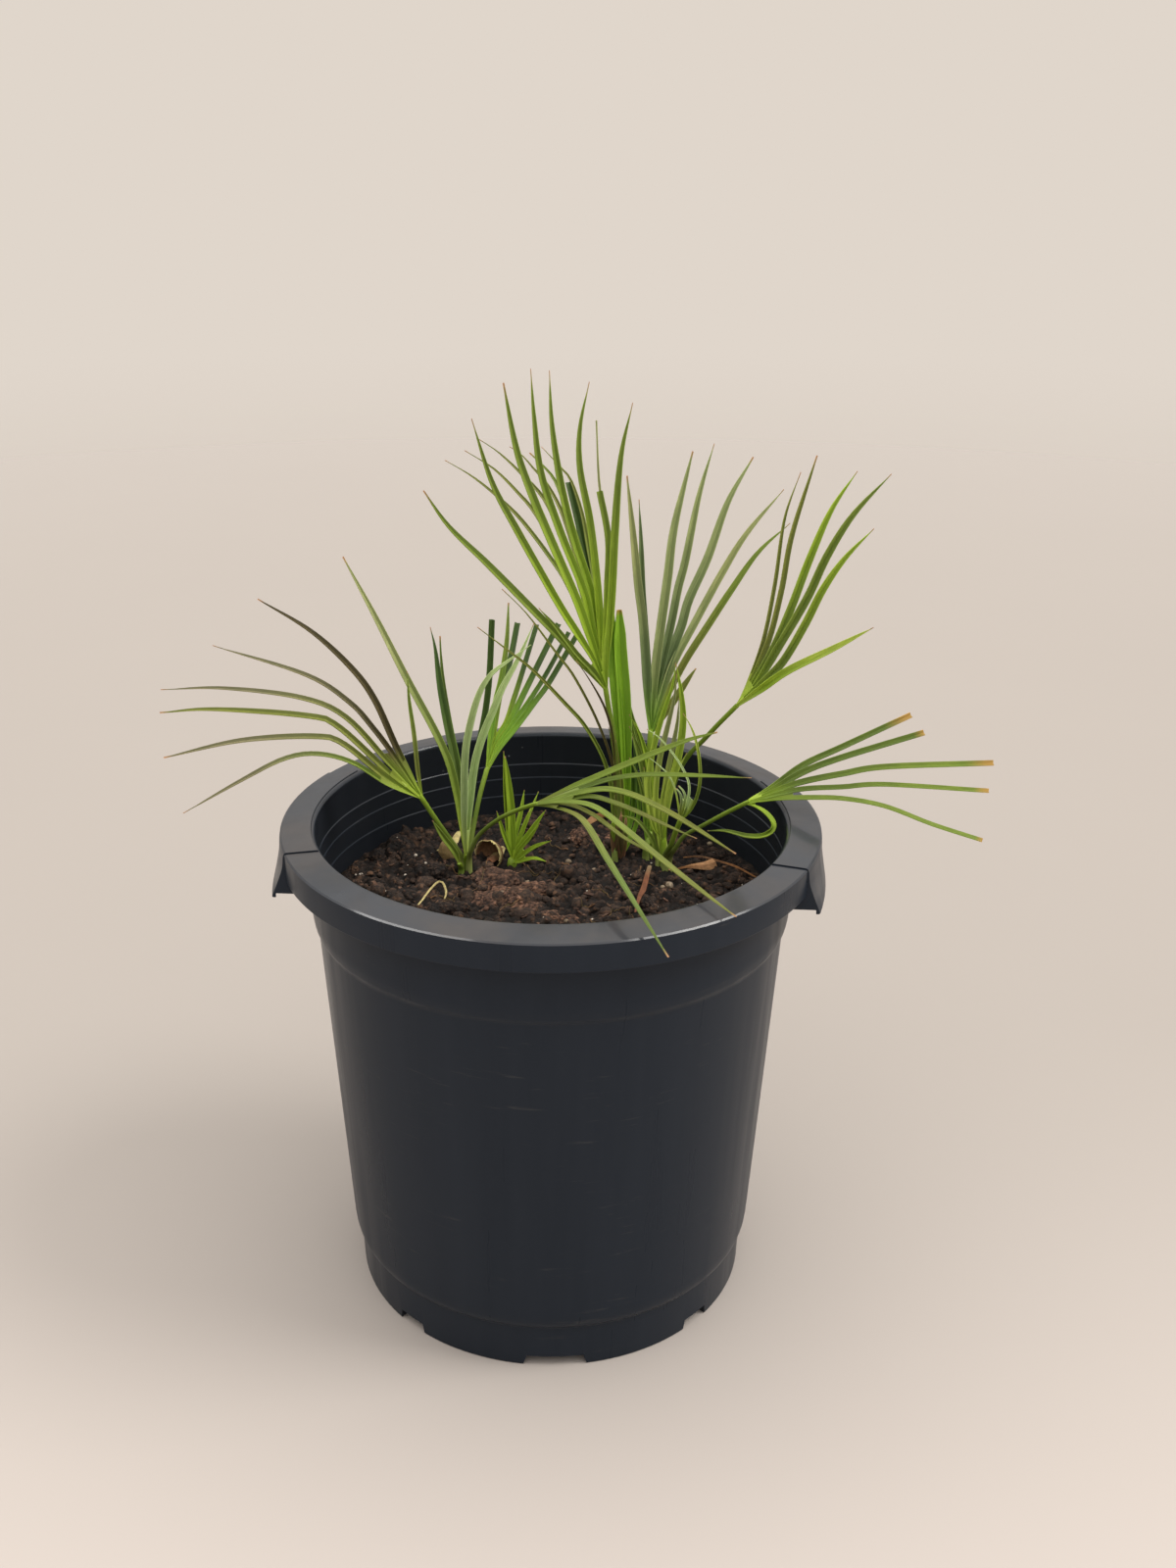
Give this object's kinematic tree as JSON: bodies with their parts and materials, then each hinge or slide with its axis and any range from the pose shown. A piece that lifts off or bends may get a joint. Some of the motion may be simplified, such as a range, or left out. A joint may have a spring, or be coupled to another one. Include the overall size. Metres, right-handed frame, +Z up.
{
  "type": "potted paurotis palm",
  "caption": "Tuft of young fan palms with narrow folded leaflets on thin stalks, in a round tapered nursery pot filled with soil.",
  "frame": {"origin": "centre of the pot's flat base, on the surface it stands on", "axes": "+Z up along the pot's axis, -Y to the front of the picture's view, +X to its right; the hand grips lie 4 degrees off the X axis"},
  "size_m": [0.4598, 0.322, 0.517],
  "materials": {
    "pot_plastic": "satin blue-black moulded plastic",
    "soil": "rough dark potting mix of bark and peat",
    "leaf_bright": "satin yellow-green leaf",
    "leaf_mid": "satin green leaf",
    "leaf_sage": "pale grey-green leaf",
    "leaf_olive": "olive leaf",
    "leaf_dark": "dark green leaf",
    "leaf_dry": "dull brown dry leaf and husk",
    "straw": "dull pale straw"
  },
  "bodies": {
    "root": {"pot": "pot_plastic", "soil": "soil", "frond_left": "leaf_olive", "bract_left": "leaf_mid", "leaf_tuft": "leaf_sage", "frond_cut_back": "leaf_dark", "frond_front": "leaf_mid", "seedling_small": "leaf_mid", "frond_tall": "leaf_bright", "frond_behind": "leaf_olive", "leaf_behind_low": "leaf_mid", "leaf_crossing": "leaf_bright", "frond_right_tall": "leaf_dark", "leaf_young_split": "leaf_bright", "frond_right_bright": "leaf_bright", "frond_right_low": "leaf_mid", "leaf_curly": "leaf_bright", "spear_middle": "leaf_bright", "dry_leaf_long": "leaf_dry", "dry_leaf_wedge": "leaf_dry", "dry_leaf_strip": "leaf_dry", "straw_bent": "straw", "husk_pale": "straw", "husk_brown": "leaf_dry", "bark_bit": "leaf_dry"}
  },
  "joints": []
}
